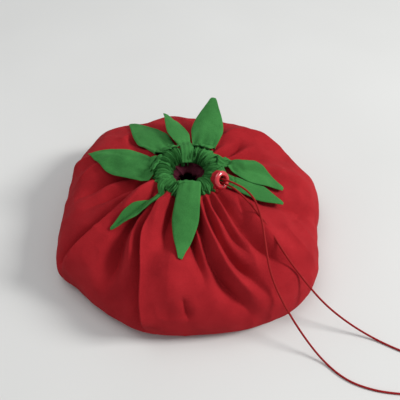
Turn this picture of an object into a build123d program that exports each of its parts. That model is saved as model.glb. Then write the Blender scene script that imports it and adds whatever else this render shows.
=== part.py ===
"""Tomato drawstring bag: a red gathered cloth bag with a green ruched casing, eight turned leaves,
an eyelet and a round drawstring whose two runs lie beside the bag.

Millimetres, +Z up.  The origin is the bottom centre of the bag, on the surface that it rests on.
"""

from build123d import *
import math
import os
from collections import namedtuple

# ---------------------------------------------------------------- driving dimensions
BASE_RADIUS = 128.0  # flat round bottom
ROLL_RADIUS = 14.0  # the cloth rolls up from the bottom edge on this arc
SIDE_RADIUS = 50.0  # then bends over the side on this one
SIDE_ARC = 64.0  # degrees
SHOULDER_RADIUS = 220.0  # and runs up to the casing on this one
CLOTH = 1.4  # outer cotton with its backing
LINING = 1.0  # lining cloth
LAYER_GAP = 0.3  # between the outer cloth and the lining
BASE_GAP = 0.05  # between a round bottom and the panels that it is sewn to
SEAM_AZIMUTH = 27.0  # the two side seams lie at this angle and opposite it
NECK_RADIUS = 36.5  # the outer cloth meets the casing here
LINING_TOP_RADIUS = 48.0  # the lining leaves the outer cloth here
LINING_NECK = (27.5, 69.2)  # and is sewn to the facing at this radius and height

CHANNEL_RADIUS = 26.0  # middle of the drawstring channel
CHANNEL_HEIGHT = 81.0
CASING_TUBE = 9.8  # outside radius of the gathered channel
CASING_WALL = 1.2

EYELET_CENTRE = (34.4, -17.2, 89.4)  # on the front of its cloth tab
EYELET_AZIMUTH = -45.0
EYELET_ELEVATION = 30.0
EYELET_FLANGE = 9.5  # radius
EYELET_HOLE = 4.5  # radius
EYELET_THICKNESS = 1.8
BARREL_WALL = 0.7
WASHER_THICKNESS = 0.8
TAB_RADIUS = 11.0
CLEARANCE = 0.3  # round the tab and the washer
BARREL_FLARE = 0.4  # the barrel stands this far out of the washer
CORD_HOLE = 5.6  # radius of the slot through the casing
SLOT_DEPTH = 12.0  # from the eyelet's front to the slot's inner end

CORD_RADIUS = 1.0
ARC_SHARE = 0.45  # of the shorter run beside a corner, taken up by the corner's arc
LOOP_GAP_AZIMUTH = -15.0  # middle of the gap that the drawstring's loop leaves by the eyelet
LOOP_GAP_HALF = 13.0
KNOT_RADIUS = 4.0
KNOT_CENTRE = (251.5, -195.5, KNOT_RADIUS + 0.05)
FLOOR_CORD = CORD_RADIUS + 0.05  # height of a cord's middle on the surface

PLY = 1.2  # one layer of a turned leaf
HINGE_GAP = 0.3  # between a leaf's hinge line and the leaf's cut edge
LEAF_SIDE = [(0.0, 0.62), (0.40, 1.0), (0.78, 0.55)]  # shares of the leaf's length and half width
LEAF_TIP = (2.0, 1.6)  # the tip's round starts this far from its point, this far off the middle
TIP_GAP = 0.4  # from the end of the leaf's length to the round of its tip

# root point, heading and roll of each leaf; a slope is in degrees above the horizontal
Leaf = namedtuple("Leaf", "name root heading length width start_slope end_slope roll")
LEAVES = [
    Leaf("left", (-40.8, 5.2, 82.6), 148.0, 86.0, 40.0, -4.0, -26.0, 0.0),
    Leaf("back_left", (-25.0, 37.0, 82.6), 122.0, 84.0, 34.0, -2.0, -24.0, 0.0),
    Leaf("back", (-4.0, 44.0, 87.0), 108.0, 80.0, 20.0, 2.0, -18.0, 35.0),
    Leaf("back_right", (18.0, 42.0, 82.5), 83.0, 84.0, 34.0, 14.0, 2.0, 0.0),
    Leaf("right", (44.0, 13.0, 82.0), -24.0, 62.0, 26.0, -2.0, -22.0, 0.0),
    Leaf("front_right", (46.0, -13.0, 82.0), -17.0, 56.0, 16.0, -8.0, -24.0, 0.0),
    Leaf("front", (0.0, -24.0, 93.0), -94.0, 80.0, 34.0, -12.0, -24.0, 0.0),
    Leaf("front_left", (-31.0, -26.0, 87.0), -145.0, 58.0, 18.0, -4.0, -22.0, 40.0),
]

# routes of the two free runs of the drawstring, from inside the channel to the knot
LOWER_ROUTE = [
    (26.6, -9.4, 80.5),
    (40.1, -22.9, 91.5),
    (61.0, -43.0, 84.0),
    (78.0, -65.0, 72.0),
    (93.0, -89.0, 59.0),
    (110.0, -101.0, 39.0),
    (130.0, -118.0, 21.0),
    (153.0, -133.0, 9.0),
    (178.0, -147.0, FLOOR_CORD),
    (200.0, -160.0, FLOOR_CORD),
    (224.0, -171.0, FLOOR_CORD),
    (240.0, -184.0, FLOOR_CORD),
    (249.0, -193.5, 2.2),
]
UPPER_ROUTE = [
    (25.1, -7.9, 84.3),
    (38.5, -21.3, 95.3),
    (64.0, -34.0, 88.0),
    (71.0, -63.0, 82.0),
    (73.0, -84.0, 72.0),
    (76.0, -107.0, 57.0),
    (88.0, -124.0, 34.0),
    (106.0, -146.0, 13.0),
    (124.0, -168.0, FLOOR_CORD),
    (142.0, -188.0, FLOOR_CORD),
    (165.0, -198.0, FLOOR_CORD),
    (190.0, -202.0, FLOOR_CORD),
    (215.0, -203.0, FLOOR_CORD),
    (236.0, -201.0, FLOOR_CORD),
    (249.0, -197.5, 2.2),
]

FAR = 400.0  # longer than the bag, for cutting shapes

os.makedirs("parts", exist_ok=True)


# ---------------------------------------------------------------- helpers
def save(name, shape):
    export_step(shape, f"parts/{name}.step")


def arc_about(centre, radius, start, end):
    """An arc in the side view, by its start and end angles in degrees."""
    points = []
    for angle in (start, (start + end) / 2, end):
        turn = math.radians(angle)
        points.append((centre[0] + radius * math.cos(turn), 0, centre[1] + radius * math.sin(turn)))
    return ThreePointArc(*points)


def dome_curve(depth, top_radius):
    """The side view of the dome at a depth below its outer surface: roll, side and shoulder."""
    side_centre = (BASE_RADIUS + ROLL_RADIUS - SIDE_RADIUS, ROLL_RADIUS)
    bend = math.radians(SIDE_ARC)
    shoulder_centre = (
        side_centre[0] + (SIDE_RADIUS - SHOULDER_RADIUS) * math.cos(bend),
        side_centre[1] + (SIDE_RADIUS - SHOULDER_RADIUS) * math.sin(bend),
    )
    top = math.degrees(math.acos((top_radius - shoulder_centre[0]) / (SHOULDER_RADIUS - depth)))
    return [
        arc_about((BASE_RADIUS, ROLL_RADIUS), ROLL_RADIUS - depth, -90, 0),
        arc_about(side_centre, SIDE_RADIUS - depth, 0, SIDE_ARC),
        arc_about(shoulder_centre, SHOULDER_RADIUS - depth, SIDE_ARC, top),
    ]


def skin_between(outer, inner):
    """A skin turned about Z between two curves that run the same way."""
    start = Line(outer[0] @ 0, inner[0] @ 0)
    end = Line(outer[-1] @ 1, inner[-1] @ 1)
    return revolve(make_face([*outer, end, *inner, start]), Axis.Z)


def half_space(azimuth, side):
    """A block on one side of the upright plane through the axis at the azimuth."""
    block = Pos(0, side * FAR / 2, 0) * Box(2 * FAR, FAR, 2 * FAR)
    return Rot(0, 0, azimuth) * block


def halves(shell):
    """The front and back halves of a skin, cut along the side seams."""
    return shell & half_space(SEAM_AZIMUTH, -1), shell & half_space(SEAM_AZIMUTH, 1)


def eyelet_plane(offset=0.0):
    """The plane of the eyelet, its Z along the hole, moved outward by the offset."""
    azimuth, elevation = math.radians(EYELET_AZIMUTH), math.radians(EYELET_ELEVATION)
    normal = Vector(
        math.cos(elevation) * math.cos(azimuth),
        math.cos(elevation) * math.sin(azimuth),
        math.sin(elevation),
    )
    across = Vector(-math.sin(azimuth), math.cos(azimuth), 0)
    return Plane(Vector(*EYELET_CENTRE) + normal * offset, x_dir=across, z_dir=normal)


def eyelet_disc(radius, start, height):
    """A disc on the eyelet's axis, from the start offset outward."""
    return extrude(eyelet_plane(start) * Circle(radius), height)


# ---------------------------------------------------------------- red outer cloth
def outer_cloth():
    """The front and back panels."""
    return halves(skin_between(dome_curve(0, NECK_RADIUS), dome_curve(CLOTH, NECK_RADIUS)))


def outer_base():
    return extrude(Circle(BASE_RADIUS - BASE_GAP), CLOTH)


# ---------------------------------------------------------------- lining
def lining_skin():
    """The lining's front and back panels, with the cone that runs in under the casing."""
    outer = dome_curve(CLOTH + LAYER_GAP, LINING_TOP_RADIUS)
    inner = dome_curve(CLOTH + LAYER_GAP + LINING, LINING_TOP_RADIUS)
    neck_radius, neck_height = LINING_NECK
    outer.append(Line(outer[-1] @ 1, (neck_radius, 0, neck_height)))
    inner.append(Line(inner[-1] @ 1, (neck_radius, 0, neck_height - LINING)))
    return halves(skin_between(outer, inner))


def lining_base():
    disc = extrude(Circle(BASE_RADIUS - BASE_GAP), LINING)
    return Pos(0, 0, CLOTH + LAYER_GAP) * disc


# ---------------------------------------------------------------- green casing
def casing():
    middle = Pos(CHANNEL_RADIUS, 0, CHANNEL_HEIGHT) * Rot(90, 0, 0)
    section = middle * (Circle(CASING_TUBE) - Circle(CASING_TUBE - CASING_WALL))
    tube = revolve(section, Axis.Z)
    inside = Cylinder(CHANNEL_RADIUS, FAR)
    slot = eyelet_disc(CORD_HOLE, -SLOT_DEPTH, SLOT_DEPTH)
    pocket_depth = CLOTH + WASHER_THICKNESS + CLEARANCE
    pocket = eyelet_disc(TAB_RADIUS + CLEARANCE, -pocket_depth, 2 * TAB_RADIUS)
    return tube - inside - slot - pocket, tube & inside


# ---------------------------------------------------------------- eyelet
def eyelet_tab():
    """The cloth tab that carries the eyelet, cut off where it is sewn to the front panel."""
    outer = dome_curve(0, NECK_RADIUS)
    top, bottom = outer[-1] @ 1, outer[0] @ 0
    filled_dome = revolve(
        make_face([*outer, Polyline(top, (0, 0, top.Z), (0, 0, bottom.Z), bottom)]), Axis.Z
    )
    hole = eyelet_disc(EYELET_HOLE + BARREL_WALL + BASE_GAP, -CLOTH, CLOTH)
    return eyelet_disc(TAB_RADIUS, -CLOTH, CLOTH) - hole - filled_dome


def eyelet_ring():
    flange = eyelet_disc(EYELET_FLANGE, 0, EYELET_THICKNESS)
    rim = flange.edges().filter_by(GeomType.CIRCLE).sort_by(lambda edge: edge.center().X)[-1]
    flange = fillet(rim, EYELET_THICKNESS * 0.6)
    depth = CLOTH + WASHER_THICKNESS + BARREL_FLARE
    barrel = eyelet_disc(EYELET_HOLE + BARREL_WALL, -depth, depth)
    return flange + barrel - eyelet_disc(EYELET_HOLE, -FAR / 2, FAR)


def eyelet_washer():
    washer = eyelet_disc(EYELET_FLANGE - 1, -CLOTH - WASHER_THICKNESS, WASHER_THICKNESS)
    return washer - eyelet_disc(EYELET_HOLE + BARREL_WALL + BASE_GAP, -FAR / 2, FAR)


# ---------------------------------------------------------------- leaves
def blade_point(leaf, along, offset):
    """A point of the leaf's side view: distance along the blade, and off its middle layer."""
    start, end = math.radians(leaf.start_slope), math.radians(leaf.end_slope)
    bend = (end - start) / leaf.length
    slope = start + bend * along
    x = (math.sin(slope) - math.sin(start)) / bend
    z = (math.cos(start) - math.cos(slope)) / bend
    return (x - math.sin(slope) * offset, 0, z + math.cos(slope) * offset)


def leaf_outline(leaf):
    """The pointed outline, seen from above, extruded through every ply."""
    length, half = leaf.length, leaf.width / 2
    side = [(length * along, half * across) for along, across in LEAF_SIDE]
    side.append((length - LEAF_TIP[0], LEAF_TIP[1]))
    left = Spline(*side)
    right = Spline(*[(x, -y) for x, y in side])
    tip = ThreePointArc(left @ 1, (length - TIP_GAP, 0), right @ 1)
    root = Line(left @ 0, right @ 0)
    return extrude(make_face([left, tip, right, root]), FAR / 2, both=True)


def leaf_ply(leaf, low, high):
    """One curved layer of a leaf between two offsets from its middle."""
    edges = []
    for offset in (low, high):
        stations = (HINGE_GAP, leaf.length / 2, leaf.length + 1)
        edges.append(ThreePointArc(*[blade_point(leaf, along, offset) for along in stations]))
    edges.append(Line(edges[0] @ 0, edges[1] @ 0))
    edges.append(Line(edges[0] @ 1, edges[1] @ 1))
    strip = extrude(make_face(edges), leaf.width, both=True)
    ply = strip & leaf_outline(leaf)
    return Pos(*leaf.root) * Rot(0, 0, leaf.heading) * Rot(leaf.roll, 0, 0) * ply


def leaves():
    for leaf in LEAVES:
        save(f"leaf_{leaf.name}_upper_ply", leaf_ply(leaf, 0, PLY))
        save(f"leaf_{leaf.name}_under_ply", leaf_ply(leaf, -PLY, 0))


# ---------------------------------------------------------------- drawstring
def corner_radii(points):
    """The largest arc at each corner that its two runs have room for."""
    radii = []
    for before, corner, after in zip(points, points[1:], points[2:]):
        incoming = Vector(*corner) - Vector(*before)
        outgoing = Vector(*after) - Vector(*corner)
        turn = math.radians(incoming.get_angle(outgoing))
        shorter = min(incoming.length, outgoing.length)
        radii.append(ARC_SHARE * shorter / math.tan(turn / 2))
    return radii


def cord_run(name, points):
    """A round cord along straight runs joined by tangent arcs."""
    radii = corner_radii(points)
    path = FilletPolyline(*points, radius=radii)
    section = Plane(path @ 0, z_dir=path % 0) * Circle(CORD_RADIUS)
    cord = sweep(section, path=path)
    expected = math.pi * CORD_RADIUS**2 * path.length
    print(f"{name}: length {path.length:.1f}, smallest radius {min(radii):.1f}")
    print(f"  radii {[round(radius, 1) for radius in radii]}")
    print(f"  volume {cord.volume:.1f}, section times length {expected:.1f}")
    return cord


def drawstring_loop():
    """The part of the drawstring inside the channel, open behind the eyelet."""
    section = Pos(CHANNEL_RADIUS, 0, CHANNEL_HEIGHT) * Rot(90, 0, 0) * Circle(CORD_RADIUS)
    loop = revolve(section, Axis.Z, revolution_arc=360 - 2 * LOOP_GAP_HALF)
    return Rot(0, 0, LOOP_GAP_AZIMUTH + LOOP_GAP_HALF) * loop


def drawstring_knot(runs):
    """The overhand knot that joins both ends, as its round outer shape."""
    knot = Pos(*KNOT_CENTRE) * Sphere(KNOT_RADIUS)
    for run in runs:
        knot = knot - run
    return knot


# ---------------------------------------------------------------- write every node
outer_front_panel, outer_back_panel = outer_cloth()
save("outer_front_panel", outer_front_panel)
save("outer_back_panel", outer_back_panel)
save("outer_base", outer_base())

lining_front_panel, lining_back_panel = lining_skin()
save("lining_front_panel", lining_front_panel)
save("lining_back_panel", lining_back_panel)
save("lining_base", lining_base())

casing_outer_band, casing_inner_facing = casing()
save("casing_outer_band", casing_outer_band)
save("casing_inner_facing", casing_inner_facing)

save("eyelet_tab", eyelet_tab())
save("eyelet_ring", eyelet_ring())
save("eyelet_washer", eyelet_washer())

leaves()

lower_run = cord_run("drawstring_run_lower", LOWER_ROUTE)
upper_run = cord_run("drawstring_run_upper", UPPER_ROUTE)
save("drawstring_run_lower", lower_run)
save("drawstring_run_upper", upper_run)
save("drawstring_loop", drawstring_loop())
save("drawstring_knot", drawstring_knot([lower_run, upper_run]))
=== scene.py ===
"""Tomato drawstring bag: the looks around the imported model.

Shapes are worked out in millimetres and turned into metres as each mesh is made.
"""

import math
from collections import namedtuple

import bmesh
import bpy
import numpy as np
from mathutils import Matrix, Vector, noise
from mathutils.bvhtree import BVHTree


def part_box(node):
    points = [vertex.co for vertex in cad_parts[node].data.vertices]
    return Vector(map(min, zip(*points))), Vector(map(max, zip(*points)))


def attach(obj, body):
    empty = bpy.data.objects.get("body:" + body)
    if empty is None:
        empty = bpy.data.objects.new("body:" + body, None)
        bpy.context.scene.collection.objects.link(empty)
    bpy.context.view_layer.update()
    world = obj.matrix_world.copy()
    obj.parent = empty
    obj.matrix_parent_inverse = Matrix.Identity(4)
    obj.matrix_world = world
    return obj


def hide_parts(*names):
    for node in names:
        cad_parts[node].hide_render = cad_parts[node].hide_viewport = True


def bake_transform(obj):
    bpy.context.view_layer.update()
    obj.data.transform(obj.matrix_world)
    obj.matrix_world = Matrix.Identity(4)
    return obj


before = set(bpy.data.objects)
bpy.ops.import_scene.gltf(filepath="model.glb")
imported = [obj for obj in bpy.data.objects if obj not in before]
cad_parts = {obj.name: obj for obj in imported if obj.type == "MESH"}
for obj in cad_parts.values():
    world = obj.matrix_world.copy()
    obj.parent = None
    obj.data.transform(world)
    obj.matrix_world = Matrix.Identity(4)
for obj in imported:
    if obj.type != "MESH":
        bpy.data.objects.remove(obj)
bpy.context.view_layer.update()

MM = 0.001
SEED = 7

# ---------------------------------------------------------------- sizes, in millimetres and degrees
BASE_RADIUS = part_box("outer_base")[1].x / MM
ROLL_RADIUS = 14.0
SIDE_RADIUS = 50.0
SIDE_ARC = 64.0
SHOULDER_RADIUS = 220.0
BAG_RADIUS = BASE_RADIUS + ROLL_RADIUS
SEAM_AZIMUTH = 27.0
CLOTH_START = 33.0  # the red cloth starts this far from the axis, under the casing

CORD_RADIUS = 1.0
FLOOR_CORD = CORD_RADIUS + 0.05
EYELET_CENTRE = Vector((34.4, -17.2, 89.4))
EYELET_AZIMUTH = -45.0
EYELET_ELEVATION = 30.0

BAG_ROWS = 150
BAG_COLUMNS = 960
CLOTH_MAP_RADIUS = 130.0  # the red cloth's texture map is laid out at this distance from the axis
LINING_MAP_RADIUS = 90.0
LINING_MAP_LENGTH = 240.0

# ---------------------------------------------------------------- studio, in metres
WINDOW_PLACE = (2.45, -0.15, 1.75)
WINDOW_TARGET = (0.0, 0.0, 0.03)
OVERHEAD_PLACE = (-0.45, 0.25, 1.6)
OVERHEAD_TARGET = (0.0, 0.0, 0.0)
FLOOR_HALF = 3.0


# ---------------------------------------------------------------- camera and light
def add_camera():
    """A 45 mm lens from the front, about 48 degrees above the floor, rolled by one degree."""
    position = Vector((0.0, -0.3747, 0.4462))
    target = Vector((0.0136, 0.0107, 0.030))
    roll = math.radians(1.02)
    data = bpy.data.cameras.new("camera")
    data.lens = 45.0
    data.sensor_width = 36.0
    camera = bpy.data.objects.new("camera", data)
    bpy.context.scene.collection.objects.link(camera)
    turn = (target - position).to_track_quat("-Z", "Y").to_matrix().to_4x4()
    camera.matrix_world = Matrix.Translation(position) @ turn @ Matrix.Rotation(roll, 4, "Z")
    bpy.context.scene.camera = camera


def add_area_light(name, position, target, size, power):
    data = bpy.data.lights.new(name, "AREA")
    data.energy = power
    data.size = size
    light = bpy.data.objects.new(name, data)
    bpy.context.scene.collection.objects.link(light)
    light.location = position
    light.rotation_euler = (Vector(target) - Vector(position)).to_track_quat("-Z", "Y").to_euler()


def add_lights():
    add_area_light("window", WINDOW_PLACE, WINDOW_TARGET, 0.85, 75.0)
    add_area_light("overhead", OVERHEAD_PLACE, OVERHEAD_TARGET, 1.1, 6.5)
    world = bpy.data.worlds.new("studio")
    world.use_nodes = True
    background = world.node_tree.nodes["Background"]
    background.inputs["Color"].default_value = (0.93, 0.95, 1.0, 1.0)
    background.inputs["Strength"].default_value = 0.46
    bpy.context.scene.world = world
    bpy.context.scene.view_settings.view_transform = "Standard"


def add_floor():
    half = FLOOR_HALF
    corners = [(-half, -half, 0), (half, -half, 0), (half, half, 0), (-half, half, 0)]
    mesh = bpy.data.meshes.new("floor")
    mesh.from_pydata(corners, [], [(0, 1, 2, 3)])
    floor = bpy.data.objects.new("floor", mesh)
    bpy.context.scene.collection.objects.link(floor)
    floor.data.materials.append(floor_material())


# ---------------------------------------------------------------- materials
def new_material(name):
    """A material with its node tree and its main shader."""
    material = bpy.data.materials.new(name)
    material.use_nodes = True
    tree = material.node_tree
    return material, tree, tree.nodes["Principled BSDF"]


def ramp(tree, source, stops):
    """A colour ramp over the source, from (position, colour) stops."""
    node = tree.nodes.new("ShaderNodeValToRGB")
    elements = node.color_ramp.elements
    while len(elements) < len(stops):
        elements.new(0.5)
    for element, (position, colour) in zip(elements, stops):
        element.position = position
        element.color = (*colour, 1.0)
    tree.links.new(source, node.inputs["Fac"])
    return node.outputs["Color"]


def noise_value(tree, vector, scale, detail=3.0, roughness=0.55):
    node = tree.nodes.new("ShaderNodeTexNoise")
    node.inputs["Scale"].default_value = scale
    node.inputs["Detail"].default_value = detail
    node.inputs["Roughness"].default_value = roughness
    tree.links.new(vector, node.inputs["Vector"])
    return node.outputs["Fac"]


def maths(tree, operation, first, second):
    """A maths node between two values, each a socket or a number."""
    node = tree.nodes.new("ShaderNodeMath")
    node.operation = operation
    for socket, value in zip(node.inputs, (first, second)):
        if isinstance(value, (int, float)):
            socket.default_value = value
        else:
            tree.links.new(value, socket)
    return node.outputs["Value"]


def threads(tree, direction, pitch):
    """Thread crowns across one direction of the cloth, from its UV map in metres."""
    coordinates = tree.nodes.new("ShaderNodeUVMap")
    wave = tree.nodes.new("ShaderNodeTexWave")
    wave.bands_direction = direction
    wave.inputs["Scale"].default_value = math.pi / (10.0 * pitch)
    wave.inputs["Distortion"].default_value = 0.6
    wave.inputs["Detail"].default_value = 1.0
    tree.links.new(coordinates.outputs["UV"], wave.inputs["Vector"])
    return wave.outputs["Fac"]


def bump(tree, shader, height, distance, strength=1.0):
    node = tree.nodes.new("ShaderNodeBump")
    node.inputs["Distance"].default_value = distance
    node.inputs["Strength"].default_value = strength
    tree.links.new(height, node.inputs["Height"])
    tree.links.new(node.outputs["Normal"], shader.inputs["Normal"])


def cotton_material(name, deep, middle, light, sheen):
    """Plain-woven cotton: crossed threads, slubs, soft mottling and a dusty sheen."""
    material, tree, shader = new_material(name)
    position = tree.nodes.new("ShaderNodeTexCoord").outputs["Object"]
    mottle = noise_value(tree, position, 34.0, 5.0)
    slub = noise_value(tree, position, 900.0, 2.0)
    weave = maths(tree, "MULTIPLY", threads(tree, "X", 0.00045), threads(tree, "Y", 0.00045))
    shade = maths(tree, "ADD", maths(tree, "MULTIPLY", mottle, 0.50), maths(tree, "MULTIPLY", slub, 0.25))
    shade = maths(tree, "ADD", shade, maths(tree, "MULTIPLY", weave, 0.25))
    colour = ramp(tree, shade, [(0.20, deep), (0.45, middle), (0.75, light)])
    tree.links.new(colour, shader.inputs["Base Color"])
    shader.inputs["Roughness"].default_value = 0.92
    shader.inputs["Specular IOR Level"].default_value = 0.12
    shader.inputs["Sheen Weight"].default_value = sheen
    shader.inputs["Sheen Roughness"].default_value = 0.5
    shader.inputs["Sheen Tint"].default_value = (*light, 1.0)
    height = maths(tree, "ADD", weave, maths(tree, "MULTIPLY", slub, 0.7))
    bump(tree, shader, height, 0.00018, 0.7)
    return material


def enamel_material():
    """Glossy red enamel, slightly uneven, over a pressed metal ring."""
    material, tree, shader = new_material("red_enamel")
    position = tree.nodes.new("ShaderNodeTexCoord").outputs["Object"]
    patch = noise_value(tree, position, 160.0, 3.0)
    colour = ramp(tree, patch, [(0.30, (0.42, 0.012, 0.02)), (0.70, (0.62, 0.03, 0.04))])
    tree.links.new(colour, shader.inputs["Base Color"])
    shader.inputs["Roughness"].default_value = 0.22
    shader.inputs["Coat Weight"].default_value = 0.8
    shader.inputs["Coat Roughness"].default_value = 0.08
    bump(tree, shader, noise_value(tree, position, 420.0, 2.0), 0.0001, 0.35)
    return material


def cord_material():
    """Fine dark red cord with a soft shine."""
    material, tree, shader = new_material("drawstring_cord")
    position = tree.nodes.new("ShaderNodeTexCoord").outputs["Object"]
    fibre = noise_value(tree, position, 1400.0, 3.0)
    colour = ramp(tree, fibre, [(0.30, (0.20, 0.007, 0.008)), (0.72, (0.36, 0.014, 0.015))])
    tree.links.new(colour, shader.inputs["Base Color"])
    shader.inputs["Roughness"].default_value = 0.7
    shader.inputs["Specular IOR Level"].default_value = 0.12
    bump(tree, shader, fibre, 0.0002, 0.8)
    return material


def floor_material():
    """Pale matt board, very slightly uneven."""
    material, tree, shader = new_material("floor")
    position = tree.nodes.new("ShaderNodeTexCoord").outputs["Object"]
    tone = noise_value(tree, position, 3.0, 2.0)
    colour = ramp(tree, tone, [(0.30, (0.655, 0.655, 0.63)), (0.70, (0.69, 0.69, 0.665))])
    tree.links.new(colour, shader.inputs["Base Color"])
    shader.inputs["Roughness"].default_value = 0.75
    return material


# ---------------------------------------------------------------- mesh helpers
def smoothstep(low, high, value):
    t = np.clip((value - low) / (high - low), 0.0, 1.0)
    return t * t * (3.0 - 2.0 * t)


def one_step_longer(values):
    """A grid of values carried on by one row and one column, for the faces that close it."""
    longer = np.concatenate([values, 2 * values[:, -1:] - values[:, -2:-1]], axis=1)
    return np.concatenate([longer, 2 * longer[-1:] - longer[-2:-1]], axis=0)


def grid_object(name, points, uv, closed, material, closed_rows=False):
    """A mesh from a grid of points in millimetres; its columns, and rows if asked, close on themselves."""
    rows, columns = points.shape[:2]
    mesh = bpy.data.meshes.new(name)
    last_column = columns if closed else columns - 1
    last_row = rows if closed_rows else rows - 1
    row, column = np.meshgrid(np.arange(last_row), np.arange(last_column), indexing="ij")
    next_row, next_column = (row + 1) % rows, (column + 1) % columns
    corners = [(row, column), (row, next_column), (next_row, next_column), (next_row, column)]
    faces = np.stack([(r * columns + c).ravel() for r, c in corners], axis=1)
    mesh.from_pydata((points.reshape(-1, 3) * MM).tolist(), [], faces.tolist())
    layer = mesh.uv_layers.new(name="UVMap")
    rows_of, columns_of = [row, row, row + 1, row + 1], [column, column + 1, column + 1, column]
    wide, tall = (one_step_longer(np.broadcast_to(values, (rows, columns))) for values in uv)
    wide = np.stack([wide[r, c].ravel() for r, c in zip(rows_of, columns_of)], axis=1)
    tall = np.stack([tall[r, c].ravel() for r, c in zip(rows_of, columns_of)], axis=1)
    layer.data.foreach_set("uv", (np.stack([wide, tall], axis=2).ravel() * MM).astype(np.float32))
    mesh.polygons.foreach_set("use_smooth", np.ones(len(mesh.polygons), bool))
    mesh.materials.append(material)
    piece = bpy.data.objects.new(name, mesh)
    bpy.context.scene.collection.objects.link(piece)
    return piece


def grid_normals(points, closed):
    """Unit normals of a grid of points, from its neighbours' differences."""
    if closed:
        across = np.roll(points, -1, axis=1) - np.roll(points, 1, axis=1)
    else:
        across = np.gradient(points, axis=1)
    along = np.gradient(points, axis=0)
    normals = np.cross(along, across)
    return normals / np.maximum(np.linalg.norm(normals, axis=2, keepdims=True), 1e-9)


def noise_field(x, y, z, scale, seed):
    """Smooth noise from -1 to 1 at each point, with features about scale millimetres wide."""
    offset = Vector((seed * 13.7, seed * 7.1, seed * 3.3))
    flat = zip(x.ravel() / scale, y.ravel() / scale, z.ravel() / scale)
    values = [noise.noise(Vector(point) + offset) for point in flat]
    return np.array(values).reshape(x.shape)


def catmull_rom(nodes, count):
    """A smooth line of count points through given nodes."""
    nodes = np.asarray(nodes, float)
    padded = np.vstack([2 * nodes[0] - nodes[1], nodes, 2 * nodes[-1] - nodes[-2]])
    places = np.linspace(0, len(nodes) - 1, count)
    segment = np.minimum(places.astype(int), len(nodes) - 2)
    t = (places - segment)[:, None]
    a, b, c, d = (padded[segment + shift] for shift in range(4))
    square, cube = 2 * a - 5 * b + 4 * c - d, 3 * b - a - 3 * c + d
    return 0.5 * (2 * b + (c - a) * t + square * t**2 + cube * t**3)


# ---------------------------------------------------------------- the red bag
# plan outline of the filled bag: (azimuth, radius)
OUTLINE = [
    (-172, 139), (-161, 146), (-150, 155), (-141, 146.5), (-127, 146), (-109, 148), (-86, 147), (-73, 149),
    (-51, 159), (-37, 160), (-21, 147), (-11, 144), (0, 149), (13, 155), (28, 144), (50, 143), (72, 143),
    (87, 141), (100, 147), (115, 148), (130, 158), (145, 149), (158, 145), (172, 140),
]

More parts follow.
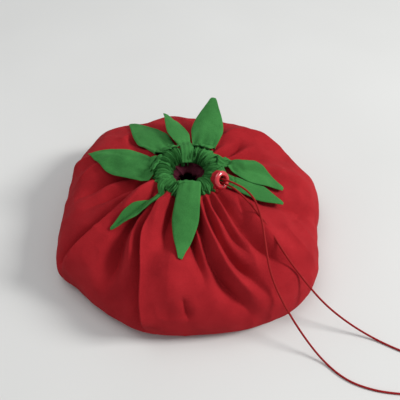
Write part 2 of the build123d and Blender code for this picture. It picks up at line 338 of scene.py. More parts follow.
# A fold runs outward along its nodes, (azimuth, unrolled distance from the axis).  Its height and width
# go from the first value to the second along it.  A "lip" is raised on its left side, seen from the axis.
Fold = namedtuple("Fold", "kind height width fade nodes")
FOLDS = [
    Fold("lip", (4.5, 4.5), (6, 11), 0.22, [(-165, 40), (-151, 66), (-148, 92), (-147, 126), (-148, 168)]),
    Fold(
        "crease", (-2.4, -3.8), (4, 5), 0.12,
        [(-170, 42), (-155, 66), (-152, 92), (-150, 126), (-151, 168)],
    ),
    Fold("soft", (-5.5, -5.0), (5, 7), 0.35, [(-176, 38), (-163, 57), (-156, 84)]),
    Fold("soft", (5.0, 4.0), (5, 7), 0.40, [(-156, 38), (-145, 62), (-141, 92)]),
    Fold("soft", (-6.0, -8.5), (5, 12), 0.30, [(-138, 40), (-135, 70), (-131, 98), (-127, 124), (-126, 156)]),
    Fold("soft", (5.0, 5.0), (4, 9), 0.35, [(-133, 36), (-130, 62), (-128, 84), (-120, 108), (-114, 132)]),
    Fold("lip", (4.0, 4.5), (5, 9), 0.10, [(-127, 36), (-123, 60), (-121, 84), (-112, 117), (-106, 174)]),
    Fold("soft", (5.0, 3.0), (4, 8), 0.45, [(-119, 36), (-118, 60), (-113, 92)]),
    Fold("soft", (-6.5, -4.0), (4, 9), 0.40, [(-110, 36), (-109, 60), (-107, 76), (-101, 108)]),
    Fold("soft", (3.0, 4.5), (12, 22), 0.40, [(-101, 84), (-99, 112), (-98, 150)]),
    Fold("crease", (-1.5, -2.6), (4, 4), 0.40, [(-93, 128), (-90, 156)]),
    Fold("soft", (-5.5, -5.5), (4, 7), 0.30, [(-90, 52), (-88, 73), (-86, 91), (-82, 130)]),
    Fold("soft", (3.5, 3.5), (4, 6), 0.40, [(-86, 56), (-81, 92), (-78, 128)]),
    Fold("soft", (-6.5, -8.0), (4, 10), 0.28, [(-80, 38), (-79, 90), (-77, 108), (-73, 130), (-65, 168)]),
    Fold("soft", (5.5, 5.0), (4, 8), 0.35, [(-74, 36), (-75, 61), (-72, 93), (-69, 118), (-60, 156)]),
    Fold("soft", (-5.5, -7.0), (3, 8), 0.28, [(-66, 38), (-70, 64), (-68, 95), (-65, 112), (-58, 148)]),
    Fold("soft", (4.0, 3.0), (3, 6), 0.50, [(-61, 36), (-65, 60), (-63, 84)]),
    Fold("soft", (-5.0, -4.5), (3, 6), 0.35, [(-54, 38), (-60, 54), (-60, 84), (-56, 110)]),
    Fold("soft", (5.0, 4.0), (4, 8), 0.45, [(-49, 38), (-55, 56), (-56, 84), (-51, 112)]),
    Fold(
        "soft", (-5.0, -6.5), (4, 11), 0.50,
        [(-42, 40), (-50, 60), (-53, 80), (-50, 106), (-46, 122), (-44, 140)],
    ),
    Fold("soft", (3.0, 3.5), (8, 12), 0.40, [(-36, 62), (-42, 92), (-42, 126)]),
    Fold("crease", (1.2, 1.4), (6, 7), 0.50, [(-29, 96), (-33, 124), (-34, 158)]),
    Fold("soft", (-2.6, -2.4), (8, 12), 0.50, [(-4, 140), (-17, 124), (-31, 104)]),
    Fold("soft", (-3.0, -3.5), (6, 10), 0.40, [(-18, 50), (-20, 84), (-14, 120), (-9, 156)]),
    Fold("crease", (-2.2, -1.6), (4, 4), 0.50, [(-26, 54), (-40, 66), (-50, 78)]),
    Fold("crease", (5.5, 4.0), (11, 13), 0.35, [(66, 62), (53, 92), (37, 120), (14, 140)]),
    Fold("soft", (-5.5, -3.5), (5, 9), 0.40, [(30, 40), (27, 66), (22, 104)]),
    Fold("soft", (3.0, 3.0), (7, 12), 0.40, [(12, 48), (8, 90), (3, 142)]),
    Fold("crease", (4.5, 4.5), (6, 8), 0.35, [(152, 60), (163, 92), (176, 140)]),
    Fold("soft", (-6.0, -5.5), (5, 11), 0.35, [(178, 40), (188, 70), (195, 128)]),
    Fold("soft", (-5.0, -5.0), (4, 8), 0.40, [(166, 44), (176, 84), (186, 140)]),
    Fold("soft", (-5.0, -5.5), (4, 9), 0.30, [(132, 50), (133, 72), (135, 96)]),
    Fold("crease", (3.5, 3.5), (5, 7), 0.40, [(155, 85), (160, 120), (165, 150)]),
    Fold("soft", (-4.5, -4.5), (4, 7), 0.30, [(40, 45), (40, 65), (45, 90)]),
]
FOLD_SCALE = 2.0
FOLD_LINE_POINTS = 26
INNER_START = 50  # a fold that starts nearer the axis than this comes out from under the casing
FADE_IN_SHARE = 0.3
SWELLS = [(48, 14), (72, 12), (100, 13), (131, 15), (150, 12)]  # azimuths and half widths at the back
SWELL_HEIGHT = 4.0
SWELL_REACH = (60, 120)  # unrolled distances over which the swells rise
BACK_PLEATS = (2.0, 172.0, 27)  # azimuths between which plain pleats run, and how many
PLEAT_START = 36  # unrolled distance where the pleats are narrowest
BROAD_NOISE = (46.0, 2.2)  # size and height of the cloth's slow unevenness
CRUMPLE_NOISE = (15.0, 0.85)
CREASE_NOISE = (24.0, 1.6)
BOTTOM_FADE = (30.0, 3.0)  # folds die out between these distances from the bottom edge
NECK_FADE = (34, 56)  # and grow between these distances from the axis
NECK_SHARE = 0.40
LOWEST_CLOTH = 0.2
OUTLINE_WINDOW = 13  # degrees over which the outline's corners are rounded


def profile_table():
    """The filled bag's side view: unrolled distance, radius and height, from the casing to the bottom."""
    bend = math.radians(SIDE_ARC)
    side_x = BAG_RADIUS - SIDE_RADIUS
    shoulder_x = side_x + (SIDE_RADIUS - SHOULDER_RADIUS) * math.cos(bend)
    shoulder_z = ROLL_RADIUS + (SIDE_RADIUS - SHOULDER_RADIUS) * math.sin(bend)
    top = math.acos((CLOTH_START - shoulder_x) / SHOULDER_RADIUS)
    arcs = [
        (shoulder_x, shoulder_z, SHOULDER_RADIUS, top, bend),
        (side_x, ROLL_RADIUS, SIDE_RADIUS, bend, 0.0),
        (BASE_RADIUS, ROLL_RADIUS, ROLL_RADIUS, 0.0, -math.pi / 2),
    ]
    points = []
    for x, z, radius, start, end in arcs:
        for angle in np.linspace(start, end, 120):
            points.append((x + radius * math.cos(angle), z + radius * math.sin(angle)))
    points = np.array(points)
    steps = np.hypot(*np.diff(points, axis=0).T)
    return CLOTH_START + np.concatenate([[0], np.cumsum(steps)]), points[:, 0], points[:, 1]


PROFILE = profile_table()


def outline_radius(azimuth):
    """Smooth plan radius of the bag at each azimuth in degrees."""
    angles = np.array([a for a, _ in OUTLINE], float)
    radii = np.array([r for _, r in OUTLINE], float)
    fine = np.arange(-180, 180, 1.0)
    rough = np.interp(fine, angles, radii, period=360)
    window = np.hanning(OUTLINE_WINDOW)
    spare = OUTLINE_WINDOW - 1
    padded = np.concatenate([rough[-spare:], rough, rough[:spare]])
    smooth = np.convolve(padded, window / window.sum(), mode="same")[spare:-spare]
    return np.interp(azimuth, fine, smooth, period=360)


def fold_field(azimuth, unrolled, fold):
    """Height of one fold over the grid."""
    x, y = unrolled * np.cos(azimuth), unrolled * np.sin(azimuth)
    angles = np.radians([a for a, _ in fold.nodes])
    reach = np.array([d for _, d in fold.nodes])
    line = catmull_rom(np.stack([reach * np.cos(angles), reach * np.sin(angles)], axis=1), FOLD_LINE_POINTS)
    nearest = np.full(x.shape, 1e9)
    along = np.zeros(x.shape)
    side = np.zeros(x.shape)
    for index, (start, end) in enumerate(zip(line, line[1:])):
        step = end - start
        dx, dy = x - start[0], y - start[1]
        t = np.clip((dx * step[0] + dy * step[1]) / (step @ step), 0, 1)
        gap = np.hypot(dx - t * step[0], dy - t * step[1])
        closer = gap < nearest
        nearest[closer] = gap[closer]
        along[closer] = ((index + t) / (len(line) - 1))[closer]
        side[closer] = np.sign(step[0] * dy - step[1] * dx)[closer]
    height = fold.height[0] + (fold.height[1] - fold.height[0]) * along
    width = fold.width[0] + (fold.width[1] - fold.width[0]) * along
    starts_inside = fold.nodes[0][1] < INNER_START
    fade_in = 1.0 if starts_inside else smoothstep(0, FADE_IN_SHARE, along)
    height = height * fade_in * smoothstep(0, fold.fade, 1 - along)
    height = height * FOLD_SCALE
    if fold.kind == "soft":
        sharp = 0.5 if fold.height[0] < 0 else 0.15
        pointed = np.exp(-1.3 * nearest / width)
        rounded = np.exp(-((nearest / width) ** 2))
        return height * (sharp * pointed + (1 - sharp) * rounded)
    if fold.kind == "crease":
        return height * np.exp(-nearest / width)
    signed = nearest * side
    high = np.exp(-np.maximum(signed, 0) / (1.6 * width))
    low = -0.9 * np.exp(np.minimum(signed, 0) / width)
    edge = smoothstep(-0.9, 0.9, signed)
    return height * (edge * high + (1 - edge) * low)


def pleat_field(azimuth, unrolled):
    """Irregular pleats that run out from the casing round the back of the bag."""
    start, end, count = BACK_PLEATS
    rng = np.random.default_rng(SEED)
    places = np.linspace(start, end, count) + rng.uniform(-1.6, 1.6, count)
    field = np.zeros(azimuth.shape)
    degrees = np.degrees(azimuth) % 360
    for index, place in enumerate(places):
        sign = 1 if index % 2 else -1
        drift = rng.uniform(-0.06, 0.06)
        length = rng.uniform(70, 128) if index % 4 < 2 else rng.uniform(52, 84)
        depth = rng.uniform(3.4, 5.4)
        off = (degrees - place - drift * (unrolled - 40)) * np.pi / 180 * unrolled
        width = 3.0 + 0.05 * (unrolled - PLEAT_START)
        fade = 1 - smoothstep(0.35 * length, length, unrolled)
        field += sign * depth * fade * np.exp(-((off / width) ** 2))
    return field


def bag_surface():
    """The folded cloth as a grid, with its unrolled coordinates."""
    unrolled_end = PROFILE[0][-1]
    stations = np.linspace(CLOTH_START, unrolled_end, BAG_ROWS)
    angles = np.linspace(-math.pi, math.pi, BAG_COLUMNS, endpoint=False) + math.radians(SEAM_AZIMUTH)
    unrolled, azimuth = np.meshgrid(stations, angles, indexing="ij")
    radius = np.interp(unrolled, PROFILE[0], PROFILE[1])
    height = np.interp(unrolled, PROFILE[0], PROFILE[2])
    stretch = (outline_radius(np.degrees(azimuth)) - CLOTH_START) / (BAG_RADIUS - CLOTH_START)
    radius = CLOTH_START + (radius - CLOTH_START) * stretch
    points = np.stack([radius * np.cos(azimuth), radius * np.sin(azimuth), height], axis=2)
    normals = grid_normals(points, True)
    lift = pleat_field(azimuth, unrolled)
    for fold in FOLDS:
        lift += fold_field(azimuth, unrolled, fold)
    degrees = np.degrees(azimuth)
    for place, half_width in SWELLS:
        off = ((degrees - place + 180) % 360 - 180) / half_width
        lift += SWELL_HEIGHT * smoothstep(*SWELL_REACH, unrolled) * np.exp(-(off**2))
    x, y, z = points[..., 0], points[..., 1], points[..., 2]
    broad = noise_field(x, y, z, BROAD_NOISE[0], 1)
    crumple = noise_field(x, y, z, CRUMPLE_NOISE[0], 2)
    creased = 0.5 - np.abs(noise_field(x, y, z, CREASE_NOISE[0], 4))
    lift += BROAD_NOISE[1] * broad + CRUMPLE_NOISE[1] * crumple + CREASE_NOISE[1] * creased
    lift *= 1 - smoothstep(unrolled_end - BOTTOM_FADE[0], unrolled_end - BOTTOM_FADE[1], unrolled)
    lift *= NECK_SHARE + (1 - NECK_SHARE) * smoothstep(*NECK_FADE, unrolled)
    points = points + normals * lift[..., None]
    points[..., 2] = np.maximum(points[..., 2], LOWEST_CLOTH)
    return points, (azimuth * CLOTH_MAP_RADIUS, unrolled)


def add_bag(red):
    """Front and back panels, split at the two side seams."""
    points, uv = bag_surface()
    half = BAG_COLUMNS // 2
    columns = np.arange(BAG_COLUMNS + 1) % BAG_COLUMNS
    wide = np.concatenate([uv[0], uv[0][:, :1] + 2 * math.pi * CLOTH_MAP_RADIUS], axis=1)
    panels = (("bag_front", "outer_front_panel", 0), ("bag_back", "outer_back_panel", half))
    for name, node, start in panels:
        used = columns[start : start + half + 1]
        panel_uv = (wide[:, start : start + half + 1], uv[1][:, used])
        panel = grid_object(name, points[:, used], panel_uv, False, red)
        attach(panel, "bag")
        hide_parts(node)


# ---------------------------------------------------------------- drawstring
LOWER_ROUTE = [
    (26.6, -9.4, 80.5),
    (40.1, -22.9, 91.5),
    (61.0, -43.0, 84.0),
    (77.5, -66.6, 74.4),
    (92.0, -91.7, 63.0),
    (108.3, -105.4, 45.5),
    (128.2, -122.0, 27.5),
    (151.9, -135.3, 12.6),
    (178.0, -147.0, FLOOR_CORD),
    (200.0, -160.0, FLOOR_CORD),
    (224.0, -171.0, FLOOR_CORD),
    (240.0, -184.0, FLOOR_CORD),
    (249.0, -193.5, 2.2),
]
UPPER_ROUTE = [
    (25.1, -7.9, 84.3),
    (38.5, -21.3, 95.3),
    (64.0, -34.0, 88.0),
    (70.6, -64.8, 84.4),
    (72.0, -87.6, 76.7),
    (74.5, -112.2, 64.6),
    (86.2, -129.1, 42.4),
    (104.3, -149.6, 19.8),
    (124.0, -168.0, FLOOR_CORD),
    (142.0, -188.0, FLOOR_CORD),
    (165.0, -198.0, FLOOR_CORD),
    (190.0, -202.0, FLOOR_CORD),
    (215.0, -203.0, FLOOR_CORD),
    (236.0, -201.0, FLOOR_CORD),
    (249.0, -197.5, 2.2),
]


def add_cord_run(name, route, node, material):
    """One free run of the drawstring, a smooth line with the route's points as its control points."""
    data = bpy.data.curves.new(name, "CURVE")
    data.dimensions = "3D"
    data.bevel_depth = CORD_RADIUS * MM
    data.bevel_resolution = 4
    data.resolution_u = 16
    data.use_fill_caps = True
    spline = data.splines.new("NURBS")
    spline.points.add(len(route) - 1)
    for point, (x, y, z) in zip(spline.points, route):
        point.co = (x * MM, y * MM, z * MM, 1.0)
    spline.use_endpoint_u = True
    spline.order_u = 3
    data.materials.append(material)
    run = bpy.data.objects.new(name, data)
    bpy.context.scene.collection.objects.link(run)
    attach(run, "drawstring")
    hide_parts(node)


# ---------------------------------------------------------------- base and lining
def edge_radius(azimuth):
    """Radius of the bottom edge at each azimuth in radians."""
    stretch = (outline_radius(np.degrees(azimuth)) - CLOTH_START) / (BAG_RADIUS - CLOTH_START)
    return CLOTH_START + (BASE_RADIUS - CLOTH_START) * stretch


def add_base(red):
    """The round bottom, a little puckered where it is sewn to the panels."""
    shares = np.concatenate([np.linspace(0.02, 0.94, 30), np.linspace(0.95, 1.0, 8)])
    angles = np.linspace(0, 2 * math.pi, 480, endpoint=False)
    share, azimuth = np.meshgrid(shares, angles, indexing="ij")
    radius = share * edge_radius(azimuth)
    x, y = radius * np.cos(azimuth), radius * np.sin(azimuth)
    pucker = smoothstep(0.90, 0.98, share) * (0.5 + 0.5 * np.sin(azimuth * 110)) * 0.5
    rise = 1.4 * smoothstep(0.975, 1.0, share)
    flat = 0.5 + 0.3 * noise_field(x, y, 0 * x, 30.0, 5) * (1 - share)
    points = np.stack([x, y, flat + pucker + rise], axis=2)[::-1]
    base = grid_object("bag_base", points, (x, y), True, red)
    fill_hole(base, len(shares) - 1, len(angles))
    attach(base, "bag")
    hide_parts("outer_base")


def bag_tree():
    """The red panels as one tree for finding the cloth under a point."""
    points, faces = [], []
    for name in ("bag_front", "bag_back"):
        mesh = bpy.data.objects[name].data
        start = len(points)
        points.extend(vertex.co.copy() for vertex in mesh.vertices)
        faces.extend([start + corner for corner in face.vertices] for face in mesh.polygons)
    return BVHTree.FromPolygons(points, faces)


def fill_hole(piece, row, columns):
    """Closes the ring of points at one end of a grid with a fan of triangles."""
    data = piece.data
    work = bmesh.new()
    work.from_mesh(data)
    work.verts.ensure_lookup_table()
    ring = [work.verts[row * columns + column] for column in range(columns)]
    middle = work.verts.new(sum((corner.co for corner in ring), Vector()) / columns)
    for first, second in zip(ring, ring[1:] + ring[:1]):
        work.faces.new((first, second, middle)).smooth = True
    bmesh.ops.recalc_face_normals(work, faces=work.faces)
    work.to_mesh(data)
    work.free()


def add_lining(cotton):
    """The dark lining: a gathered neck inside the casing, then a loose bag inside the red one."""
    profile = [
        (18.2, 81.0), (16.4, 77.5), (12.6, 75.0), (9.8, 72.5), (12.0, 69.0), (24.0, 67.0), (62.0, 63.0),
        (86.0, 54.0), (108.0, 40.0), (120.0, 22.0), (118.0, 8.0), (106.0, 3.4), (60.0, 2.6), (6.0, 2.4),
    ]
    rows, columns = 110, 480
    floor_share = 0.80  # of the rows, where the sides end and the floor starts
    line = catmull_rom(profile, rows)
    angles = np.linspace(0, 2 * math.pi, columns, endpoint=False) + math.radians(SEAM_AZIMUTH)
    radius, azimuth = np.meshgrid(line[:, 0], angles, indexing="ij")
    height = np.repeat(line[:, 1:2], columns, axis=1)
    share = np.linspace(0, 1, rows)[:, None]
    folds = np.abs(np.sin(azimuth * 4.5 + 3 * share + 1.2 * np.sin(azimuth * 2))) ** 0.7 - 0.4
    depth = 4.2 * smoothstep(0.0, 0.08, share) * (1 - smoothstep(0.18, 0.95, share))
    radius = radius + folds * depth
    x, y = radius * np.cos(azimuth), radius * np.sin(azimuth)
    on_floor = smoothstep(0.72, 0.86, share)
    height = height + 2.4 * noise_field(x, y, height, 17.0, 8) * on_floor + 1.6 * on_floor
    points = np.stack([x, y, height], axis=2)
    split = int(rows * floor_share)
    half = columns // 2
    wrapped = np.concatenate([points, points[:, :1]], axis=1)
    around = np.concatenate([azimuth, azimuth[:, :1] + 2 * math.pi], axis=1) * LINING_MAP_RADIUS
    down = np.repeat(share * LINING_MAP_LENGTH, columns + 1, axis=1)
    panels = (("lining_front", "lining_front_panel", 0), ("lining_back", "lining_back_panel", half))
    for name, node, start in panels:
        part = (slice(0, split + 1), slice(start, start + half + 1))
        panel = grid_object(name, wrapped[part], (around[part], down[part]), False, cotton)
        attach(panel, "bag")
        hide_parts(node)
    floor = grid_object("lining_floor", points[split:], (x[split:], y[split:]), True, cotton)
    fill_hole(floor, rows - split - 1, columns)
    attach(floor, "bag")
    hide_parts("lining_base")


# ---------------------------------------------------------------- green casing
CASING_RADIUS = 26.0  # middle of the channel
CASING_HEIGHT = 81.0
CASING_TUBE = 9.3
GATHERS = 52
GATHER_HEIGHT = 5.2
GATHER_DEPTH = 3.5
NOISE_RADIUS = 9.0  # the casing's noise is read on a ring of this radius, so that it closes


def back_swell(azimuth):
    """The casing swells where it runs under the leaves at the back: 0 to 1."""
    degrees = np.degrees(azimuth)
    left = np.exp(-(((degrees - 124 + 180) % 360 - 180) / 24) ** 2)
    right = np.exp(-(((degrees - 62 + 180) % 360 - 180) / 27) ** 2)
    side = 0.45 * np.exp(-(((degrees - 8 + 180) % 360 - 180) / 22) ** 2)
    return left + right + side


def casing_point(azimuth, turn, lift=0.0):
    """Points on the casing's tube; a turn of 0 faces outward and of 90 degrees upward."""
    swell = back_swell(azimuth)
    middle = CASING_RADIUS + 3.4 * swell + 0.8 * np.sin(2 * azimuth + 0.6)
    across = (CASING_TUBE + lift) * (1 + 0.30 * swell * np.maximum(np.cos(turn), 0))
    upright = (CASING_TUBE + lift) * (1 + 0.20 * swell)
    radius = middle + across * np.cos(turn)
    height = CASING_HEIGHT + 0.6 * np.sin(3 * azimuth) + upright * np.sin(turn)
    return np.stack([radius * np.cos(azimuth), radius * np.sin(azimuth), height], axis=-1)


def gather_field(azimuth, turn, count, seed):
    """Uneven gathers across the channel: puffed ridges, 0 to 1, between narrow valleys."""
    x, y = NOISE_RADIUS * np.cos(azimuth), NOISE_RADIUS * np.sin(azimuth)
    slow = noise_field(x, y, 1.6 * turn, 1.5, seed)
    quick = noise_field(x, y, 0.8 * turn, 0.7, seed + 1)
    warp = slow * 4.4 + quick * 1.7
    phase = azimuth * count / 2 + warp
    ridge = np.abs(np.sin(phase)) ** 0.62
    strength = 0.72 + 0.65 * noise_field(x, y, 0.9 * turn, 0.9, seed + 2)
    return ridge * strength


def add_casing(green):
    """The ruched channel, a closed tube round the mouth."""
    columns, rows = 1480, 60
    turns = np.linspace(0, 2 * math.pi, rows, endpoint=False)
    angles = np.linspace(0, 2 * math.pi, columns, endpoint=False)
    turn, azimuth = np.meshgrid(turns, angles, indexing="ij")
    x, y = NOISE_RADIUS * np.cos(azimuth), NOISE_RADIUS * np.sin(azimuth)
    height = GATHER_HEIGHT * gather_field(azimuth, np.sin(turn), GATHERS, 11) - GATHER_DEPTH
    height += 0.8 * gather_field(azimuth, np.sin(turn), 2 * GATHERS + 9, 23)
    height += 1.1 * noise_field(x, y, np.sin(turn), 2.4, 3)
    points = casing_point(azimuth, turn, height)
    casing = grid_object("casing", points, (azimuth * 80, turn * 10), True, green, True)
    recalculate_normals(casing)
    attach(casing, "bag")
    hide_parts("casing_outer_band", "casing_inner_facing")


def recalculate_normals(piece):
    work = bmesh.new()
    work.from_mesh(piece.data)
    bmesh.ops.recalc_face_normals(work, faces=work.faces)
    work.to_mesh(piece.data)
    work.free()


# ---------------------------------------------------------------- leaves
# Root, heading, slopes and roll follow the bodies.  "back" is where the root runs on over the casing, as
# (azimuth, turn) on its tube; crown is how far the sides droop; root and belly are the width at the root,
# as a share of the whole, and the place of the widest part.
Leaf = namedtuple(
    "Leaf",
    "name root heading length width start_slope end_slope roll back crown twist gathers root_width belly",
)
LEAVES = [
    Leaf(
        "left", (-40.8, 5.2, 82.6), 148, 85, 41, -3, -25, 0, [(168, 20), (166, 60)],
        1.6, 0, 1.1, 0.84, 0.40,
    ),
    Leaf(
        "back_left", (-25, 37, 82.6), 122, 84, 37, -2, -24, 0, [(124, 25), (124, 70)],
        1.8, 6, 1.2, 0.74, 0.34,
    ),
    Leaf("back", (-4, 44, 87), 108, 69, 25, 2, -18, 12, [(91, 88), (88, 168)], 1.2, 18, 0.25, 0.62, 0.30),
    Leaf("back_right", (18, 42, 82.5), 80, 78, 36, 13, 2, 0, [(66, 25), (65, 70)], 1.8, 0, 1.2, 0.70, 0.34),
    Leaf("right", (44, 13, 82), -24, 63, 27, -2, -22, 0, [(14, 25), (16, 70)], 1.8, 0, 1.5, 0.64, 0.40),
    Leaf(
        "front_right", (46, -13, 82), -17, 57, 21, -8, -24, 0, [(-10, 20), (-2, 60)],
        1.2, 0, 1.2, 0.80, 0.50,
    ),
    Leaf("front", (2, -24, 93), -97, 84, 26, -12, -24, 0, [(-86, 112), (-86, 150)], 1.8, 0, 0.35, 0.86, 0.48),
    Leaf(
        "front_left", (-27.5, -31.5, 84.5), -153, 60, 15, -16, -15, 30, [(-142, 45), (-144, 80)],
        1.2, 10, 0.9, 0.60, 0.55,
    ),
]
LEAF_ROWS = 96
LEAF_COLUMNS = 64
NECK_LIFT = 2.2  # a leaf's root lies this far above the casing's mean surface
LEAF_CLEARANCE = 1.9  # between a leaf's middle layer and the red cloth
OVER_ANOTHER = {"right": 1.8}  # a leaf that lies on its neighbour stands this much higher
ABOVE_ALL = 200  # higher than any cloth
SPREAD_ROWS = 5  # a raised row takes this many neighbours with it
SMOOTH_ROWS = 15


def leaf_matrix(leaf):
    heading = Matrix.Rotation(math.radians(leaf.heading), 4, "Z")
    roll = Matrix.Rotation(math.radians(leaf.roll), 4, "X")
    return Matrix.Translation(Vector(leaf.root)) @ (heading @ roll)


def leaf_spine(leaf, along):
    """Points of the leaf's middle line, in the leaf's own frame."""
    start, end = math.radians(leaf.start_slope), math.radians(leaf.end_slope)
    bend = (end - start) / leaf.length
    slope = start + bend * along
    x = (np.sin(slope) - math.sin(start)) / bend
    z = (math.cos(start) - np.cos(slope)) / bend
    return np.stack([x, 0 * x, z], axis=1)


def leaf_line(leaf):
    """The whole middle line in the bag's frame, from inside the casing to the tip, and its root's place."""
    blade = leaf_spine(leaf, np.linspace(0, leaf.length, 72))
    matrix = np.array(leaf_matrix(leaf))
    blade = blade @ matrix[:3, :3].T + matrix[:3, 3]
    inner = [casing_point(np.radians(a), np.radians(t), NECK_LIFT) for a, t in leaf.back]
    neck = catmull_rom(np.array([inner[1], inner[0], blade[0], blade[6]]), 3 * 12 + 1)[:24]
    return np.vstack([neck, blade]), len(neck)


def leaf_outline(leaf):
    """Half widths along the leaf, as shares of its length and greatest half width."""
    root, belly = leaf.root_width, leaf.belly
    rest = 1 - belly
    nodes = [(0.0, root), (belly / 2, root + 0.62 * (1 - root)), (belly, 1.0)]
    nodes += [(belly + 0.35 * rest, 0.80), (belly + 0.72 * rest, 0.44), (0.955, 0.24), (1.0, 0.15)]
    return catmull_rom(nodes, 120)


def clear_of_bag(middle, bag, clearance):
    """Raises a grid of points, smoothly, until none is closer than the clearance to the cloth below."""
    need = np.zeros(middle.shape[:2])
    above = Vector((0, 0, ABOVE_ALL * MM))
    for row in range(middle.shape[0]):
        for column in range(middle.shape[1]):
            point = Vector(middle[row, column] * MM)
            hit = bag.ray_cast(Vector((point.x, point.y, 0)) + above, Vector((0, 0, -1)))[0]
            if hit is not None:
                need[row, column] = max(0.0, hit.z / MM + clearance - point.z / MM)
    window = np.hanning(SMOOTH_ROWS)
    window /= window.sum()
    wide = need.copy()
    for shift in range(1, SPREAD_ROWS + 1):
        wide[shift:] = np.maximum(wide[shift:], need[:-shift])
        wide[:-shift] = np.maximum(wide[:-shift], need[shift:])
    margin = SMOOTH_ROWS // 2
    padded = np.pad(wide, ((margin, margin), (0, 0)), mode="edge")
    smooth = np.stack([np.convolve(column, window, mode="valid") for column in padded.T], axis=1)
    raised = np.array([0.0, 0.0, 1.0]) * smooth[..., None]
    return middle + raised


def leaf_surface(leaf, seed, bag):
    """The leaf as a closed two-ply form: rows along it, columns round its section."""
    line, root_index = leaf_line(leaf)
    steps = np.concatenate([[0], np.cumsum(np.linalg.norm(np.diff(line, axis=0), axis=1))])
    stations = np.linspace(0, steps[-1], LEAF_ROWS)
    middle = np.stack([np.interp(stations, steps, line[:, axis]) for axis in range(3)], axis=1)
    along = stations - steps[root_index]
    forward = np.gradient(middle, axis=0)
    forward /= np.linalg.norm(forward, axis=1, keepdims=True)
    matrix = np.array(leaf_matrix(leaf))[:3, :3]
    side_at_root = matrix @ np.array([0, 1.0, 0])
    heading = math.radians(leaf.heading)
    flat_side = np.array([-math.sin(heading), math.cos(heading), 0])
    share = smoothstep(-9, 5, along)[:, None]
    across = flat_side * (1 - share) + side_at_root * share
    across -= forward * (across * forward).sum(1, keepdims=True)
    across /= np.linalg.norm(across, axis=1, keepdims=True)
    up = np.cross(forward, across)
    twist = np.radians(leaf.twist) * smoothstep(0.1, 1.0, along / leaf.length)[:, None]
    cosine, sine = np.cos(twist), np.sin(twist)
    across, up = across * cosine + up * sine, up * cosine - across * sine
    shape = leaf_outline(leaf)
    half = np.interp(along / leaf.length, shape[:, 0], shape[:, 1]) * leaf.width / 2
    half *= 1 - 0.12 * (1 - smoothstep(-12, 0, along))
    angle = np.linspace(0, 2 * math.pi, LEAF_COLUMNS, endpoint=False)
    v = np.cos(angle)[None, :]
    flat_v = np.sign(v) * np.abs(v) ** 0.9
    thick = 0.62 + 0.42 * np.exp(-(((np.abs(v) - 0.86) / 0.09) ** 2))
    thick = thick * np.sin(angle)[None, :]
    thick = np.sign(thick) * np.abs(thick) ** 0.7
    near_root = (1 - smoothstep(-2, 0.30 * leaf.length, along))[:, None]
    x, y = np.meshgrid(along, np.zeros(LEAF_COLUMNS), indexing="ij")
    y = flat_v * half[:, None]
    lift = 0.9 * noise_field(x, y, 0 * x, 17.0, seed) + 0.35 * noise_field(x, y, 0 * x, 6.0, seed + 3)
    lift *= smoothstep(-4, 12, along)[:, None]
    lift -= leaf.crown * flat_v**2 * np.clip(half / (leaf.width / 2), 0.2, 1)[:, None]
    lift += leaf.gathers * near_root * 0.9 * np.sin(flat_v * 9 + 0.12 * x + seed) * (1 - 0.3 * flat_v**2)
    seam = x - 1.5 + 2.5 * flat_v**2
    lift -= 1.1 * min(leaf.gathers, 1.0) * np.exp(-((seam / 1.0) ** 2))
    fade = np.clip((leaf.length - along) / 2.5, 0.25, 1)[:, None]
    layer = middle[:, None, :] + across[:, None, :] * y[..., None] + up[:, None, :] * lift[..., None]
    layer = clear_of_bag(layer, bag, LEAF_CLEARANCE + OVER_ANOTHER.get(leaf.name, 0.0))
    points = layer + up[:, None, :] * (thick * fade)[..., None]
    return points, (x, y)


def add_leaf(leaf, seed, green, bag):
    points, uv = leaf_surface(leaf, seed, bag)
    name = f"leaf_{leaf.name}"
    piece = grid_object(name, points, uv, True, green)
    fill_hole(piece, 0, LEAF_COLUMNS)
    fill_hole(piece, LEAF_ROWS - 1, LEAF_COLUMNS)
    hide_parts(f"{name}_upper_ply", f"{name}_under_ply")
    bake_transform(piece)


# ---------------------------------------------------------------- eyelet
def eyelet_axes():
    azimuth, elevation = math.radians(EYELET_AZIMUTH), math.radians(EYELET_ELEVATION)
    flat = math.cos(elevation)
    normal = np.array([flat * math.cos(azimuth), flat * math.sin(azimuth), math.sin(elevation)])
    across = np.array([-math.sin(azimuth), math.cos(azimuth), 0.0])
    return across, np.cross(normal, across), normal


def turned_on_eyelet(radius, offset, angle):
    """Points at a radius and an offset along the eyelet's axis, round it by the angle."""
    across, up, normal = eyelet_axes()
    ring = across * np.cos(angle)[..., None] + up * np.sin(angle)[..., None]
    return np.array(EYELET_CENTRE) + ring * radius[..., None] + normal * offset[..., None]


def add_eyelet(enamel):
    """The pressed ring, domed in front, with its barrel through the tab."""
    section = [(4.5, -2.6), (4.5, -1.0), (4.55, 0.6), (5.0, 1.7), (6.0, 2.2), (7.4, 2.1), (8.7, 1.4)]
    section += [(9.5, 0.2), (9.35, -0.15), (8.6, 0.1), (6.6, 0.3), (5.3, 0.0), (5.2, -1.2), (5.2, -2.6)]
    line = catmull_rom(section, 90)
    angles = np.linspace(0, 2 * math.pi, 128, endpoint=False)
    radius, angle = np.meshgrid(line[:, 0], angles, indexing="ij")
    offset = np.repeat(line[:, 1:2], len(angles), axis=1)
    points = turned_on_eyelet(radius, offset, angle)
    ring = grid_object("eyelet", points, (angle * 8, offset), True, enamel, True)
    recalculate_normals(ring)
    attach(ring, "bag")
    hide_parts("eyelet_ring")


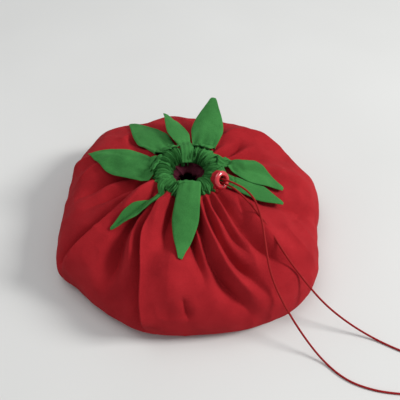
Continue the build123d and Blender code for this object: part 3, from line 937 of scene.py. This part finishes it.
def add_tab(red):
    """The red cloth round the eyelet, pulled up out of the front panel."""
    rows, columns = 40, 144
    angles = np.linspace(0, 2 * math.pi, columns, endpoint=False)
    share, angle = np.meshgrid(np.linspace(0, 1, rows), angles, indexing="ij")
    down = np.clip(-np.sin(angle), 0, 1) ** 0.7
    radius = 5.3 + (4.4 + 8.6 * down) * share
    back = 1.4 * share**3 * (1 + 3.6 * down) + 4.5 * smoothstep(0.72, 1.0, share) * (1 - 0.2 * down)
    pucker = 0.55 * np.sin(angle * 13 + 2 * np.sin(angle * 2)) * smoothstep(0.35, 0.8, share)
    points = turned_on_eyelet(radius, -0.35 - back + pucker, angle)
    flat_map = (radius * np.cos(angle), radius * np.sin(angle))
    tab = grid_object("eyelet_cloth", points, flat_map, True, red)
    recalculate_normals(tab)
    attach(tab, "bag")
    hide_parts("eyelet_tab")


# ---------------------------------------------------------------- knot
def add_knot(cord):
    """An overhand knot as a trefoil of cord, flattened a little on the surface."""
    centre = Vector((251.5, -195.5, 4.05))
    loop_size, loop_height = 0.92, 1.5
    data = bpy.data.curves.new("knot", "CURVE")
    data.dimensions = "3D"
    data.bevel_depth = 1.15 * CORD_RADIUS * MM
    data.bevel_resolution = 4
    data.resolution_u = 8
    spline = data.splines.new("NURBS")
    count = 24
    spline.points.add(count - 1)
    for index, point in enumerate(spline.points):
        t = 2 * math.pi * index / count
        x = loop_size * (math.sin(t) + 2 * math.sin(2 * t))
        y = loop_size * (math.cos(t) - 2 * math.cos(2 * t))
        z = -loop_height * math.sin(3 * t)
        point.co = ((centre.x + x) * MM, (centre.y + y) * MM, (centre.z + z) * MM, 1.0)
    spline.use_cyclic_u = True
    spline.order_u = 4
    data.materials.append(cord)
    knot = bpy.data.objects.new("knot", data)
    bpy.context.scene.collection.objects.link(knot)
    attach(knot, "drawstring")
    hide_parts("drawstring_knot")
    return knot


# deep, middle and light colours of each cotton
RED_CLOTH = ((0.23, 0.007, 0.011), (0.36, 0.013, 0.018), (0.47, 0.024, 0.031))
GREEN_CLOTH = ((0.022, 0.11, 0.026), (0.042, 0.20, 0.045), (0.075, 0.29, 0.075))
LINING_CLOTH = ((0.04, 0.006, 0.012), (0.075, 0.010, 0.020), (0.12, 0.018, 0.034))
COTTON_SHEEN = 0.05


def main():
    add_camera()
    add_lights()
    add_floor()
    red = cotton_material("red_cotton", *RED_CLOTH, COTTON_SHEEN)
    green = cotton_material("green_cotton", *GREEN_CLOTH, COTTON_SHEEN)
    maroon = cotton_material("lining_cotton", *LINING_CLOTH, COTTON_SHEEN)
    enamel = enamel_material()
    cord = cord_material()
    knot = add_knot(cord)
    add_cord_run("cord_lower", LOWER_ROUTE, "drawstring_run_lower", cord)
    add_cord_run("cord_upper", UPPER_ROUTE, "drawstring_run_upper", cord)
    add_bag(red)
    add_base(red)
    add_lining(maroon)
    add_casing(green)
    bag = bag_tree()
    for seed, leaf in enumerate(LEAVES):
        add_leaf(leaf, seed + 31, green, bag)
    add_eyelet(enamel)
    add_tab(red)
    dress_node("eyelet_washer", enamel)
    dress_node("drawstring_loop", cord)


def dress_node(name, material):
    """Puts a material on a CAD node that stays."""
    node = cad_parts[name]
    node.data.materials.clear()
    node.data.materials.append(material)


main()
